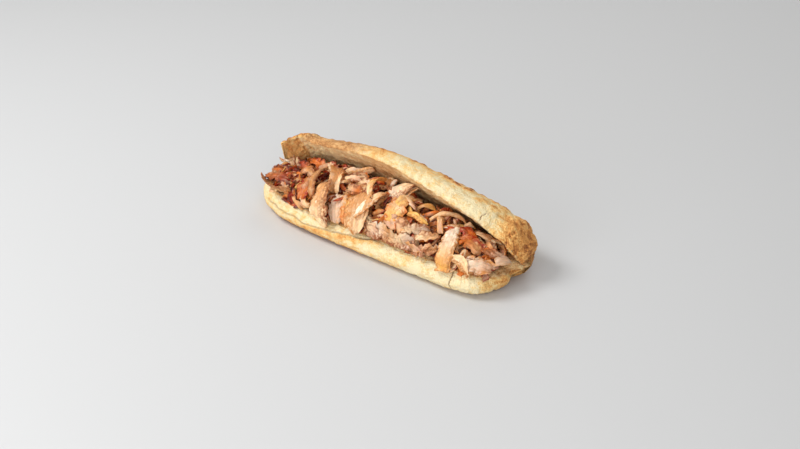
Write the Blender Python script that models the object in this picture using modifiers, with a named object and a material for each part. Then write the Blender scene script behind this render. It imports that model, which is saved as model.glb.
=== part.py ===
"""A chicken gyro sandwich: a split loaf opened like a book, with a heap of carved chicken in it.

The loaf lies along X, its open side faces -Y, and it rests on its flat underside at z = 0.
"""

import math
import random

import bmesh
import bpy
import numpy as np
from mathutils import Vector, noise

MM = 0.001

# The loaf in plan: its ends, and the lines of its front, its hinge and its back between them.
LEFT_END = -129 * MM
RIGHT_END = 129 * MM
LEFT_TIP_Y = 0 * MM
RIGHT_TIP_Y = 14 * MM
FRONT_Y = -45 * MM
FRONT_SLANT = 0.03
HINGE_Y = 32 * MM
BACK_Y = 41 * MM
# How blunt each line's turn is at the left and the right end, as powers.
FRONT_POWERS = (4, 12)
HINGE_POWERS = (30, 5)
THICK_POWERS = (12, 9)
LID_POWERS = (45, 15)
# The sections stop shrinking this near the tips, and the rings crowd towards the ends by this share.
NEAR_TIP = 0.993
END_CROWDING = 0.4
POLE_INSET = 2 * MM
# At the left end the lid stops short of the base, and at the right end the base short of the lid.
LID_SETBACK = 18 * MM
BASE_SETBACK = 3 * MM
SPLIT_Z = (16 * MM, 26 * MM)
SETBACK_SPAN = (0.6, 1.0)

# The base half: its thickness, the height of its widest line and the height of the hinge crease.
BASE_THICK = 18 * MM
WAIST_Z = 9 * MM
CREASE_Z = 13 * MM
CREASE_RISE = 8 * MM
CREASE_SPAN = (100 * MM, 122 * MM)
FRONT_REACH = 12 * MM
FRONT_TURN = 165
HOLLOW = 1.5 * MM
BACK_REACH = 10 * MM
BACK_BULGE = 1.5 * MM
# A fold in the base's right end: where it is across the loaf, its depth and its width.
FOLD_Y = 0 * MM
FOLD_DEPTH = 5 * MM
FOLD_WIDTH = 6 * MM
FOLD_SPAN = (0.75, 1.0)

# The lid half: its width from the hinge to its lip, its thickness, the share of its width and the
# thickness that it loses towards its left end, and the share that it flares out at the very end.
LID_WIDTH = 57 * MM
LID_STUB = 6 * MM
LID_THICK = 22.5 * MM
LID_NARROW_LEFT = 0.36
LID_NARROW_SPAN = (0.1, 0.8)
LID_FLARE_LEFT = 0.13
LID_FLARE_SPAN = (0.8, 1.0)
LID_THIN_LEFT = 6 * MM
LID_THIN_SPAN = (-110 * MM, 10 * MM)
LID_RIGHT_POWERS = (5, 0.8)
# How the lid's outside turns from its lip to its back, and how much wider than the lid it is.
LID_TURN = 138
LID_OVERHANG = 4 * MM
# How far the lid is opened in the middle, how that changes to the left and to the right in degrees
# a millimetre, and how far it droops at its right end, first gently and then steeply to close it.
OPEN_ANGLE = 57.5
OPEN_TURN = (-0.02, -0.15)
DROOP = 6
DROOP_SPAN = (92 * MM, 118 * MM)
CLOSE = 14
CLOSE_SPAN = (112 * MM, 124 * MM)

# The crust's knobs: their spacing, height and steepness, and how much of them the crusts show.
KNOB_SPACING = 9 * MM
KNOB_HEIGHT = 1.6 * MM
KNOB_STEEPNESS = 1.3
KNOB_SPAN = (0.1, 0.45)
KNOBS_SHOWN = {"back": 0.7, "front": 0.25}

# How finely the loaf is drawn, as rings along it and points round each ring.
RINGS = 84
SPANS = {"front": 5, "base_crumb": 5, "lid_crumb": 4, "lid_crust": 11, "back": 6, "under": 2}

# The heap of chicken: its ends, its height in the middle and at its ends, how far back its top meets
# the lid, and its least distance from the bread.
HEAP_LEFT = -119 * MM
HEAP_RIGHT = 112 * MM
HEAP_PEAK_X = -5 * MM
HEAP_HIGH = 42 * MM
HEAP_LOW = 24 * MM
HEAP_FALL_POWER = 2.2
HEAP_FALL_MOST = 1.2
LID_CONTACT = 0.55
CLEARANCE = 1.3 * MM
# How the heap bows out between the base's edge and the lid.
BOW_OUT = 1 * MM
BOW_RISE = 0.95
CROWN_RISE = 1.12
CROWN_PLACE = (0.2, 0.3)
# How slices hang over the base's front crust: the share of it they cover, and their growing gap.
CRUST_SHARE = 0.55
CRUST_LOWEST = 0.2
CRUST_GAP = 2.4 * MM
# The heap's core under the slices: its depth, its share of the surface and the taper of its ends.
CORE_DEPTH = 1.2 * MM
CORE_RINGS = 36
CORE_SIDES = 16
CORE_SPAN = (0.02, 0.97)
CORE_TAPER_RATE = 4
CORE_TAPER_POWER = 0.4

# The slices that can be told apart: x in mm, place up the heap, heading in degrees, length, width,
# lift, arch and curl in mm. Arch lifts a slice's middle, and curl lifts its long edges.
SLICES = (
    ("boat", -103, 0.08, -8, 34, 18, 3, 0, 5),
    ("boat crisp", -103, 0.30, 2, 26, 14, 2, 2, 4),
    ("left shred a", -94, 0.60, 158, 28, 5, 0, 4, 1),
    ("left shred b", -90, 0.66, 146, 26, 5, 0, 5, 1),
    ("left shred c", -86, 0.70, 138, 24, 5, 0, 5, -1),
    ("crusted blob", -75, 0.72, 50, 20, 15, 0, 4, -2),
    ("rough slice", -72, 0.27, -84, 22, 17, 0, 2, -2),
    ("fold left wing", -50, 0.16, -66, 44, 16, 0, 3, -3),
    ("fold right wing", -52, 0.60, 121, 32, 14, 0, 5, -3),
    ("upper pink a", -34, 0.90, 20, 32, 9, 0, 3, -2),
    ("upper pink b", -31, 0.76, 30, 26, 9, 0, 3, 1),
    ("brown chunk", -22, 0.55, 49, 15, 10, 0, 3, -2),
    ("left crescent", -8, 0.70, -72, 22, 7, 0, 5, 2),
    ("broad slice", -30, 0.24, -50, 26, 18, 0, 1, 2),
    ("tip", -7, 0.12, 98, 32, 20, 0, 3, -3),
    ("tip arm", -2, 0.46, 56, 28, 12, 1, 4, 3),
    ("long point", 12, 0.68, 78, 34, 12, 1, 4, -3),
    ("right crescent", 24, 0.82, -62, 19, 6, 0, 5, 2),
    ("seasoned slice", 24, 0.55, 66, 27, 17, 0, 2, -2),
    ("golden stick a", 45, 0.47, -8, 19, 5, 0, 3, 0),
    ("golden stick b", 42, 0.69, 15, 14, 5, 0, 3, 0),
    ("arch", 62, 0.76, 36, 27, 9, 0, 7, -1),
    ("short upright", 62, 0.58, -60, 15, 5, 0, 4, 0),
    ("yellow strip", 76, 0.18, -76, 40, 15, 1, 3, -2),
    ("frill", 38, 0.05, 6, 62, 15, 0, 1, 3),
    ("pale slice", 20, 0.27, 4, 36, 14, 0, 2, 2),
    ("red chunk", 90, 0.58, -22, 25, 15, 0, 4, -3),
    ("grey chunk", 103, 0.55, 17, 19, 14, 0, 4, -3),
    ("curved strip", 94, 0.05, -24, 22, 8, 0, 2, 4),
    ("low pink", 103, 0.16, 14, 24, 13, 0, 3, -2),
    ("under lid", 93, 0.82, 16, 26, 8, 0, 2, -1),
)
SLICE_THICK = 4 * MM
SLICE_SINK = 3.2 * MM
SLICE_TAPER = 0.75
SLICE_TAPER_POWER = 3
# A slice half follows the heap, but those left of this x are straight and stand free.
SLICE_STIFFNESS = 0.5
FREE_LEFT_OF = -95
SLICE_STEPS = (5, 2)
BIT_STEPS = (2, 1)
# The smaller bits between them, strewn by a seeded draw, with their sizes in mm.
BITS = 34
BITS_FROM = -111
BITS_TO = 104
BIT_PLACE = (0.05, 0.92)
BIT_LENGTH = (9, 17)
BIT_WIDTH = (5, 9)
BIT_ARCH = 3
BIT_CURL = 3
SEED = 30


def smooth(low, high, value):
    """0 below low, 1 above high and a smooth step between."""
    t = np.clip((value - low) / (high - low), 0.0, 1.0)
    return t * t * (3 - 2 * t)


def end_share(x):
    """How near x is to its end of the loaf, from 0 in the middle to 1 at the tip."""
    return x / RIGHT_END if x > 0 else x / LEFT_END


def rounding(x, powers):
    """A share that stays near 1 along the loaf and falls at its ends."""
    power = powers[1] if x > 0 else powers[0]
    return math.sqrt(1 - min(end_share(x), NEAR_TIP) ** power)


def section_sizes(x):
    """The cross section's sizes at x, which shrink towards both ends."""
    share = end_share(x)
    tip = RIGHT_TIP_Y if x > 0 else LEFT_TIP_Y
    tip *= smooth(0, 1, share * 2)
    front, hinge = rounding(x, FRONT_POWERS), rounding(x, HINGE_POWERS)
    if x > 0:
        power, root = LID_RIGHT_POWERS
        width = LID_WIDTH * (1 - min(share, NEAR_TIP) ** power) ** root
    else:
        narrow = LID_NARROW_LEFT * smooth(*LID_NARROW_SPAN, share)
        narrow -= LID_FLARE_LEFT * smooth(*LID_FLARE_SPAN, share)
        width = LID_WIDTH * (1 - narrow)
    lid = LID_THICK - LID_THIN_LEFT * (1 - smooth(*LID_THIN_SPAN, x))
    angle = OPEN_ANGLE + OPEN_TURN[1 if x > 0 else 0] * x / MM
    angle -= DROOP * smooth(*DROOP_SPAN, x) + CLOSE * smooth(*CLOSE_SPAN, x)
    return {
        "x": x,
        "front": tip + (FRONT_Y + FRONT_SLANT * x - tip) * front,
        "hinge": tip + (HINGE_Y - tip) * hinge,
        "back": tip + (BACK_Y - tip) * hinge,
        "squash": rounding(x, THICK_POWERS),
        "crease": CREASE_Z + CREASE_RISE * smooth(*CREASE_SPAN, x),
        "width": LID_STUB + width,
        "lid": lid * rounding(x, LID_POWERS),
        "angle": math.radians(angle),
    }


def base_point(size, y, z):
    """A point of the base, squashed towards its waist."""
    return size["x"], y, WAIST_Z + (z - WAIST_Z) * size["squash"]


def lid_point(size, along, out):
    """A point of the lid, from its distance along and out from the lid's cut face."""
    cosine, sine = math.cos(size["angle"]), math.sin(size["angle"])
    y = size["hinge"] - along * cosine + out * sine
    return size["x"], y, base_point(size, 0, size["crease"])[2] + along * sine + out * cosine


def trim_end(point):
    """The point moved along X, for the lid's and the base's setbacks and the fold in the right end."""
    x, y, z = point
    high = smooth(*SPLIT_Z, z)
    fold = FOLD_DEPTH * math.exp(-(((y - FOLD_Y) / FOLD_WIDTH) ** 2)) * smooth(*FOLD_SPAN, x / RIGHT_END)
    x += LID_SETBACK * high * smooth(*SETBACK_SPAN, x / LEFT_END)
    return x - (1 - high) * (BASE_SETBACK * smooth(*SETBACK_SPAN, x / RIGHT_END) + fold), y, z


def lid_section_x(x):
    """Where the section of the lid that ends up at x is before its setback."""
    before = np.linspace(LEFT_END, RIGHT_END, 259)
    return np.interp(x, before + LID_SETBACK * smooth(*SETBACK_SPAN, before / LEFT_END), before)


def front_crust(size, t):
    """The base's rounded front, from the underside up to the cut edge."""
    turn = math.radians(-90 + FRONT_TURN * t)
    y = size["front"] + FRONT_REACH * (1 - math.cos(turn))
    rise = WAIST_Z if turn < 0 else BASE_THICK - WAIST_Z
    return base_point(size, y, WAIST_Z + rise * math.sin(turn))


def base_crumb(size, t):
    """The base's cut face, from the front edge back to the crease."""
    y0 = front_crust(size, 1)[1]
    z = BASE_THICK + (size["crease"] - BASE_THICK) * t - HOLLOW * math.sin(math.pi * t)
    return base_point(size, y0 + (size["hinge"] - y0) * t, z)


def lid_crumb(size, t):
    """The lid's cut face, from the crease up to its lip."""
    return lid_point(size, size["width"] * t, HOLLOW * math.sin(math.pi * t))


def lid_crust(size, t):
    """The lid's outside: most of a half ellipse, from its lip over its top to its back."""
    turn = math.radians(LID_TURN * t)
    half = size["width"] / 2 + LID_OVERHANG
    along = size["width"] - half * (1 - math.cos(turn))
    return lid_point(size, along, size["lid"] * math.sin(turn))


def back_crust(size, t):
    """The back, from the lid's shoulder down to the waist and round to the underside."""
    if t > 0.5:
        turn = math.pi * (t - 0.5)
        y = size["back"] - BACK_REACH * (1 - math.cos(turn))
        return base_point(size, y, WAIST_Z * (1 - math.sin(turn)))
    y0, z0 = lid_crust(size, 1)[1:]
    z1 = base_point(size, 0, WAIST_Z)[2]
    y = y0 + (size["back"] - y0) * 2 * t + BACK_BULGE * math.sin(math.tau * t)
    return size["x"], y, z0 + (z1 - z0) * 2 * t


def underside(size, t):
    """The flat underside, from the back to the front."""
    y0, y1 = back_crust(size, 1)[1], front_crust(size, 0)[1]
    return base_point(size, y0 + (y1 - y0) * t, 0)


def knob_mask(span, t):
    """How much of the crust's knobs a place round the section shows."""
    if span == "lid_crust":
        return smooth(*KNOB_SPAN, t)
    return KNOBS_SHOWN.get(span, 0.0)


def knob(place):
    """The height of the crust's knobs at a point, from -0.5 between them to 0.5 on top."""
    return max(0.0, 1 - KNOB_STEEPNESS * noise.voronoi(Vector(place) / KNOB_SPACING)[0][0]) - 0.5


def ring_points(x):
    """The points round the loaf's cross section at x, pushed in and out by the knobs."""
    size = section_sizes(x)
    shapes = (front_crust, base_crumb, lid_crumb, lid_crust, back_crust, underside)
    points, pushes = [], []
    for shape, (span, count) in zip(shapes, SPANS.items()):
        for i in range(count):
            points.append(trim_end(shape(size, i / count)))
            pushes.append(KNOB_HEIGHT * knob_mask(span, i / count) * knob(points[-1]))
    points = np.array(points)
    ahead = np.roll(points, -1, axis=0) - np.roll(points, 1, axis=0)
    out = np.stack([np.zeros(len(points)), ahead[:, 2], -ahead[:, 1]], axis=1)
    out /= np.linalg.norm(out, axis=1)[:, None] + 1e-9
    points -= out * np.array(pushes)[:, None]
    points[:, 2] = np.maximum(points[:, 2], 0)
    return points


def station(share):
    """The x of a ring, with the rings closer together at the ends."""
    spread = (1 - END_CROWDING) * share + END_CROWDING * (1 - math.cos(math.pi * share)) / 2
    return LEFT_END + (RIGHT_END - LEFT_END) * spread


def unit(vector):
    """The vector at length 1."""
    return vector / (np.linalg.norm(vector) + 1e-12)


def heap_height(x):
    """The height of the heap's top at x."""
    end = HEAP_RIGHT if x > HEAP_PEAK_X else HEAP_LEFT
    share = (x - HEAP_PEAK_X) / (end - HEAP_PEAK_X)
    return HEAP_HIGH - (HEAP_HIGH - HEAP_LOW) * min(HEAP_FALL_MOST, share**HEAP_FALL_POWER)


def heap_surface(x, t):
    """The heap's surface at x: t is 0 at the base's edge, 1 at the lid and below 0 over the crust."""
    size = section_sizes(x)
    edge = front_crust(size, 1)
    if t < 0:
        y, z = front_crust(size, max(CRUST_LOWEST, 1 + t * CRUST_SHARE))[1:]
        return np.array([x, y + CRUST_GAP * t - CLEARANCE, z + CLEARANCE])
    top = heap_height(x)
    y1, z1 = lid_crumb(size, LID_CONTACT * min(1, top / HEAP_HIGH))[1:]
    start = np.array([edge[1] - CLEARANCE, edge[2] + CLEARANCE])
    rise = np.array([edge[1] + BOW_OUT, top * BOW_RISE])
    crown_y = size["hinge"] * CROWN_PLACE[0] + edge[1] * CROWN_PLACE[1]
    crown = np.array([crown_y, top * CROWN_RISE])
    end = np.array([y1 - 2 * CLEARANCE, z1 - 2 * CLEARANCE])
    u = 1 - t
    curve = u**3 * start + 3 * u * u * t * rise + 3 * u * t * t * crown + t**3 * end
    return np.array([x, curve[0], curve[1]])


def heap_frame(x, t):
    """A point of the heap, with the directions along the loaf, up the heap and out of it."""
    step = 0.02
    point = heap_surface(x, t)
    along = unit(heap_surface(x + 2 * MM, t) - heap_surface(x - 2 * MM, t))
    up = unit(heap_surface(x, t + step) - heap_surface(x, t - step))
    out = unit(np.cross(along, up))
    return point, along, up, out


def keep_clear(point):
    """The point, moved out of the bread where it would come closer than the clearance."""
    x, y, z = point
    for lid_x in (x, lid_section_x(x)):
        size = section_sizes(lid_x)
        cosine, sine = math.cos(size["angle"]), math.sin(size["angle"])
        crease_z = base_point(size, 0, size["crease"])[2]
        into_lid = max(0, (y - size["hinge"]) * sine + (z - crease_z) * cosine + CLEARANCE)
        y, z = y - into_lid * sine, z - into_lid * cosine
    size = section_sizes(x)
    edge_y, edge_z = front_crust(size, 1)[1:]
    if y > edge_y:
        crease_z = base_point(size, 0, size["crease"])[2]
        floor = edge_z + (crease_z - edge_z) * (y - edge_y) / (size["hinge"] - edge_y)
        return np.array([x, y, max(z, floor + CLEARANCE)])
    reach, rise = FRONT_REACH + 2 * CLEARANCE, (BASE_THICK - WAIST_Z) * size["squash"] + 2 * CLEARANCE
    across, up = (y - size["front"] - FRONT_REACH) / reach, (z - WAIST_Z) / rise
    inside = math.hypot(across, up)
    if inside < 1:
        y = size["front"] + FRONT_REACH + across / inside * reach
        z = WAIST_Z + up / inside * rise
    return np.array([x, y, z])


def core_ring(x):
    """The points round the heap's core at x: its surface, then along the lid and the base."""
    count = CORE_SIDES // 2
    upper = []
    for i in range(count):
        point, along, up, out = heap_frame(x, np.interp(i, (0, count - 1), CORE_SPAN))
        upper.append(point - out * CORE_DEPTH)
    size = section_sizes(x)
    crease = np.array(lid_crumb(size, 0)) + np.array([0, -2 * CLEARANCE, 2 * CLEARANCE])
    lower = []
    for i in range(1, CORE_SIDES - count + 1):
        t = 2 * i / (CORE_SIDES - count + 1)
        start, end = (upper[-1], crease) if t < 1 else (crease, upper[0])
        lower.append(start + (end - start) * (t % 1))
    return [keep_clear(point) for point in upper + lower]


def swept_sphere(name, sides, rings, ring_at, pole_at):
    """A sphere of that many sides and rings, each ring moved onto ring_at(k) and each pole to pole_at(k)."""
    bm = bmesh.new()
    bmesh.ops.create_uvsphere(bm, u_segments=sides, v_segments=rings, radius=1)
    points = [ring_at(k) for k in range(1, rings)]
    for vert in bm.verts:
        k = round(math.acos(max(-1, min(1, vert.co.z))) / math.pi * rings)
        if k in (0, rings):
            vert.co = pole_at(k)
        else:
            j = round(math.atan2(vert.co.y, vert.co.x) / math.tau * sides) % sides
            vert.co = points[k - 1][j]
    if bm.calc_volume(signed=True) < 0:
        bmesh.ops.reverse_faces(bm, faces=bm.faces)
    mesh = bpy.data.meshes.new(name)
    bm.to_mesh(mesh)
    bm.free()
    return mesh


def core_mesh():
    """The heap's core, a sphere swept along the heap."""

    def ring_at(k):
        x = HEAP_LEFT + (HEAP_RIGHT - HEAP_LEFT) * k / CORE_RINGS
        ring = np.array(core_ring(x))
        near_end = CORE_TAPER_RATE * min(k, CORE_RINGS - k) / CORE_RINGS
        shrink = math.sin(min(1, near_end) * math.pi / 2) ** CORE_TAPER_POWER
        middle = ring.mean(axis=0)
        return middle + (ring - middle) * shrink

    def pole_at(k):
        x = HEAP_LEFT + (HEAP_RIGHT - HEAP_LEFT) * k / CORE_RINGS
        return np.array(core_ring(x)).mean(axis=0)

    return swept_sphere("meat", CORE_SIDES, CORE_RINGS, ring_at, pole_at)


def slice_point(row, along_share, across_share):
    """A point of a slice laid on the heap, at shares from -1 to 1 of its length and width."""
    free = row[0] < FREE_LEFT_OF
    t, heading = row[1:3]
    x, length, width, lift, arch, curl = (value * MM for value in row[:1] + row[3:])
    cosine, sine = math.cos(math.radians(heading)), math.sin(math.radians(heading))
    s = length / 2 * along_share
    w = width / 2 * across_share * math.sqrt(1 - SLICE_TAPER * abs(along_share) ** SLICE_TAPER_POWER)
    right, rise = s * cosine - w * sine, s * sine + w * cosine
    point, along, up, out = heap_frame(x, t)
    if free:
        along = np.array([1.0, 0.0, 0.0])
        out = unit(np.cross(along, up))
    stiffness = 1.0 if free else SLICE_STIFFNESS
    straight = point + along * right + up * rise
    per_share = np.linalg.norm(heap_surface(x, t + 0.05) - heap_surface(x, t - 0.05)) / 0.1
    laid, _, _, laid_out = heap_frame(x + right, min(1.0, t + rise / per_share))
    height = lift + arch * (1 - along_share**2) + curl * across_share**2 - min(0, curl) - SLICE_SINK
    point = straight * stiffness + laid * (1 - stiffness)
    return point + unit(out * stiffness + laid_out * (1 - stiffness)) * height


def add_slice(row, steps, collection):
    """One slice: a grid laid on the heap and thickened."""
    bpy.ops.mesh.primitive_grid_add(x_subdivisions=steps[0], y_subdivisions=steps[1], size=2)
    slice_object = bpy.context.object
    for vert in slice_object.data.vertices:
        vert.co = slice_point(row, vert.co.x, vert.co.y)
    solid = slice_object.modifiers.new("thickness", "SOLIDIFY")
    solid.thickness = SLICE_THICK
    solid.offset = 1
    bpy.ops.object.modifier_apply(modifier=solid.name)
    for vert in slice_object.data.vertices:
        vert.co = keep_clear(vert.co)
    for old in slice_object.users_collection:
        old.objects.unlink(slice_object)
    collection.objects.link(slice_object)
    return slice_object


def bit_rows():
    """The strewn bits: seeded places all over the heap."""
    draw = random.Random(SEED)
    rows = []
    for i in range(BITS):
        x = BITS_FROM + (BITS_TO - BITS_FROM) * (i + draw.random()) / BITS
        size = (draw.uniform(*BIT_LENGTH), draw.uniform(*BIT_WIDTH))
        place = (x, draw.uniform(*BIT_PLACE), draw.uniform(0, 180))
        rows.append((*place, *size, 0, draw.uniform(0, BIT_ARCH), draw.uniform(-BIT_CURL, BIT_CURL)))
    return rows


def largest_piece(mesh):
    """Only the largest closed shell of the mesh, without scraps and sealed hollows."""
    bm = bmesh.new()
    bm.from_mesh(mesh)
    unseen, shells = set(bm.faces), []
    while unseen:
        todo, shell = [unseen.pop()], []
        while todo:
            face = todo.pop()
            shell.append(face)
            edges = [edge for edge in face.edges if edge.is_manifold]
            near = {other for edge in edges for other in edge.link_faces} & unseen
            todo += near
            unseen -= near
        shells.append(shell)
    shells.sort(key=len)
    for shell in shells[:-1]:
        bmesh.ops.delete(bm, geom=shell, context="FACES")
    bmesh.ops.triangulate(bm, faces=bm.faces)
    bm.to_mesh(mesh)
    bm.free()


def add_meat(collection):
    """The chicken: the heap's core with its slices and bits joined to it."""
    meat = bpy.data.objects.new("meat", core_mesh())
    collection.objects.link(meat)
    slices = bpy.data.collections.new("slices")
    bpy.context.scene.collection.children.link(slices)
    for row in SLICES:
        add_slice(row[1:], SLICE_STEPS, slices)
    for row in bit_rows():
        add_slice(row, BIT_STEPS, slices)
    union = meat.modifiers.new("slices", "BOOLEAN")
    union.operation = "UNION"
    union.operand_type = "COLLECTION"
    union.collection = slices
    union.solver = "MANIFOLD"
    bpy.context.view_layer.objects.active = meat
    bpy.ops.object.modifier_apply(modifier=union.name)
    for old in list(slices.objects):
        bpy.data.objects.remove(old, do_unlink=True)
    bpy.data.collections.remove(slices)
    largest_piece(meat.data)
    meat.data.materials.clear()
    return meat


def loaf_mesh():
    """The loaf: a sphere whose rings are moved onto the loaf's cross sections."""

    def pole_at(k):
        x = LEFT_END if k == 0 else RIGHT_END
        return trim_end((x, section_sizes(x)["hinge"] + POLE_INSET, WAIST_Z))

    def ring_at(k):
        return ring_points(station(k / RINGS))

    return swept_sphere("bread", sum(SPANS.values()), RINGS, ring_at, pole_at)


def principled(name, color, roughness):
    """A Principled material."""
    material = bpy.data.materials.new(name)
    material.use_nodes = True
    shader = material.node_tree.nodes["Principled BSDF"]
    shader.inputs["Base Color"].default_value = color
    shader.inputs["Roughness"].default_value = roughness
    return material


def centre(parts):
    """Moves the parts so that the middle of the underside of their box is at the origin."""
    points = np.array([vert.co for part in parts for vert in part.data.vertices])
    middle = (points.min(axis=0) + points.max(axis=0)) / 2
    for part in parts:
        for vert in part.data.vertices:
            vert.co -= Vector((middle[0], middle[1], 0))


def main():
    for old in list(bpy.data.objects):
        bpy.data.objects.remove(old, do_unlink=True)
    collection = bpy.data.collections.new("chicken_gyro")
    bpy.context.scene.collection.children.link(collection)
    bread = bpy.data.objects.new("bread", loaf_mesh())
    bread.data.materials.append(principled("crust", (0.76, 0.52, 0.26, 1), 0.7))
    collection.objects.link(bread)
    meat = add_meat(collection)
    meat.data.materials.append(principled("chicken", (0.62, 0.3, 0.13, 1), 0.5))
    centre((bread, meat))


main()
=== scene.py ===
import math
import random

import bpy
import numpy as np
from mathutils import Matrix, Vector, noise


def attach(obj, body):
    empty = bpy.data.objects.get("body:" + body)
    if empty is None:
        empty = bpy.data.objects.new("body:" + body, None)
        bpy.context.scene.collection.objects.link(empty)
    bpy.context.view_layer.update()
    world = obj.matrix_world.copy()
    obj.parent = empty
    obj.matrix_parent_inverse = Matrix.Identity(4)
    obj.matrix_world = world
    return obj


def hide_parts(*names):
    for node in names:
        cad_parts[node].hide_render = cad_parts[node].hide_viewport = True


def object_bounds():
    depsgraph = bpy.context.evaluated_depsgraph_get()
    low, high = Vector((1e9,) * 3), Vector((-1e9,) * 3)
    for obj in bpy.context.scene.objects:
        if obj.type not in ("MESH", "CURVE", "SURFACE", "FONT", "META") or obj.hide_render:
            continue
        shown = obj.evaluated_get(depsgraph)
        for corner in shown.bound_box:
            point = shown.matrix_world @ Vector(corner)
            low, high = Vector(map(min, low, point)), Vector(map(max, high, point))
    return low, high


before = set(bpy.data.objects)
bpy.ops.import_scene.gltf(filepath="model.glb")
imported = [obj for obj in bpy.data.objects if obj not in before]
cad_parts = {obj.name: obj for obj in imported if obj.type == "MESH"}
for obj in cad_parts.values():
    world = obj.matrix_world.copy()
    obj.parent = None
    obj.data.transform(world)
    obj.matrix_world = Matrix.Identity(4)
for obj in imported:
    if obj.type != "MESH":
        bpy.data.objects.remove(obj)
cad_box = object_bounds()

# ---------------------------------------------------------------- stage
# A pale plain table with one broad soft light from the upper left, weaker ones from the right, behind
# and low in front, and a bright, even surround. The camera looks down on the sandwich's open side.

bpy.ops.object.select_all(action="DESELECT")
bpy.ops.object.camera_add(
    location=(0.5871, -0.7376, 0.5931), rotation=(math.radians(58.22), 0, math.radians(37.93))
)
camera = bpy.context.object
camera.data.lens = 60.35
camera.data.sensor_width = 36
camera.data.clip_start = 0.01
bpy.context.scene.camera = camera

bpy.ops.mesh.primitive_plane_add(size=8, location=(0, 0, -0.0003))
floor = bpy.context.object
floor.name = "table"
table_finish = bpy.data.materials.new("pale_table")
table_finish.use_nodes = True
table_shader = table_finish.node_tree.nodes["Principled BSDF"]
table_shader.inputs["Base Color"].default_value = (0.61, 0.615, 0.62, 1)
table_shader.inputs["Roughness"].default_value = 0.55
floor.data.materials.append(table_finish)

for name, spot, size, power in (
    ("key", (-0.65, -0.45, 1.05), 0.5, 10.6),
    ("fill", (0.9, -0.7, 0.7), 0.9, 3.6),
    ("back", (-0.1, 0.9, 0.9), 0.9, 2.6),
    ("front", (0.05, -1.1, 0.28), 0.8, 6.5),
):
    bpy.ops.object.light_add(type="AREA", location=spot)
    lamp = bpy.context.object
    lamp.name = name
    lamp.data.energy = power
    lamp.data.size = size
    lamp.rotation_euler = Vector(spot).to_track_quat("Z", "Y").to_euler()

bpy.context.scene.view_settings.view_transform = "Standard"
surround = bpy.data.worlds.new("surround")
surround.use_nodes = True
surround.node_tree.nodes["Background"].inputs["Color"].default_value = (1.0, 0.985, 0.96, 1)
surround.node_tree.nodes["Background"].inputs["Strength"].default_value = 0.38
bpy.context.scene.world = surround

# ---------------------------------------------------------------- loaf
# A long roll baked in one piece, split along its front and opened like a book on the crust of its
# back. Its base lies flat and its lid leans back over the filling. The crust is rolled in flour, its
# knobs are browned, and the cut crumb has been toasted.

MM = 0.001
# Where the loaf's middle lies before the whole sandwich is centred.
MIDDLE = np.array([-1.095, -1.800, 0.0]) * MM
LEFT_END = -129 * MM
RIGHT_END = 129 * MM
FRONT_Y = -45 * MM
HINGE_Y = 32 * MM
BACK_Y = 41 * MM
BASE_THICK = 18 * MM
WAIST_Z = 9 * MM
FRONT_REACH = 12 * MM
BACK_REACH = 10 * MM
HOLLOW = 1.5 * MM
CREASE_Z = 13 * MM
LID_WIDTH = 57 * MM
LID_THICK = 22.5 * MM
LID_ANGLE = 57.5
LID_SETBACK = 18 * MM
BASE_SETBACK = 3 * MM
END_FOLD = 5 * MM
KNOB_SPACING = 9 * MM
KNOB_HEIGHT = 1.6 * MM
LUMP_HEIGHT = 0.6 * MM
FINE_HEIGHT = 0.3 * MM
SKIN_HEIGHT = 0.7 * MM
WRINKLE_HEIGHT = 1 * MM
EDGE_HEIGHT = 0.8 * MM
LEDGE_HEIGHT = 0.7 * MM
LEDGE_GAP = 0.8 * MM
CRACK_DEPTH = 0.9 * MM
STREAK_HEIGHT = 1.5 * MM
PORE_DEPTH = 1.1 * MM
LOAF_RINGS = 408


def smooth(low, high, value):
    """0 below low, 1 above high and a smooth step between."""
    t = np.clip((value - low) / (high - low), 0.0, 1.0)
    return t * t * (3 - 2 * t)


def linear(red, green, blue):
    """A colour as shaders take it, from its everyday 0 to 255 values."""
    parts = [c / 255 for c in (red, green, blue)]
    return tuple(c / 12.92 if c <= 0.04045 else ((c + 0.055) / 1.055) ** 2.4 for c in parts) + (1.0,)


def rounding(x, left, right):
    """A share that stays near 1 along the loaf and falls at its ends, blunter for a higher power."""
    share = np.where(x > 0, x / RIGHT_END, x / LEFT_END)
    return np.sqrt(1 - np.minimum(share, 0.993) ** np.where(x > 0, right, left))


def section_sizes(x):
    """The loaf's cross section's sizes at x."""
    share = np.where(x > 0, x / RIGHT_END, x / LEFT_END)
    tip = np.where(x > 0, 14 * MM, 0.0) * smooth(0, 0.5, share)
    hinge = rounding(x, 30, 5)
    left_width = 1 - 0.36 * smooth(0.1, 0.8, share) + 0.13 * smooth(0.8, 1.0, share)
    width = np.where(x > 0, (1 - np.minimum(share, 0.993) ** 5) ** 0.8, left_width)
    lid = LID_THICK - 6 * MM * (1 - smooth(-110 * MM, 10 * MM, x))
    angle = LID_ANGLE - np.where(x > 0, 150, 20) * x - 6 * smooth(92 * MM, 118 * MM, x)
    angle = angle - 14 * smooth(112 * MM, 124 * MM, x)
    return {
        "x": x,
        "front": tip + (FRONT_Y + 0.03 * x - tip) * rounding(x, 4, 12),
        "hinge": tip + (HINGE_Y - tip) * hinge,
        "back": tip + (BACK_Y - tip) * hinge,
        "squash": rounding(x, 12, 9),
        "crease": CREASE_Z + 8 * MM * smooth(100 * MM, 122 * MM, x),
        "width": 6 * MM + LID_WIDTH * width,
        "lid": lid * rounding(x, 45, 15),
        "angle": np.radians(angle),
    }


def base_point(size, y, z):
    """A point of the base, squashed towards its waist at the ends."""
    return np.stack([size["x"] + 0 * y, y + 0 * z, WAIST_Z + (z - WAIST_Z) * size["squash"]], axis=-1)


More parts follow.
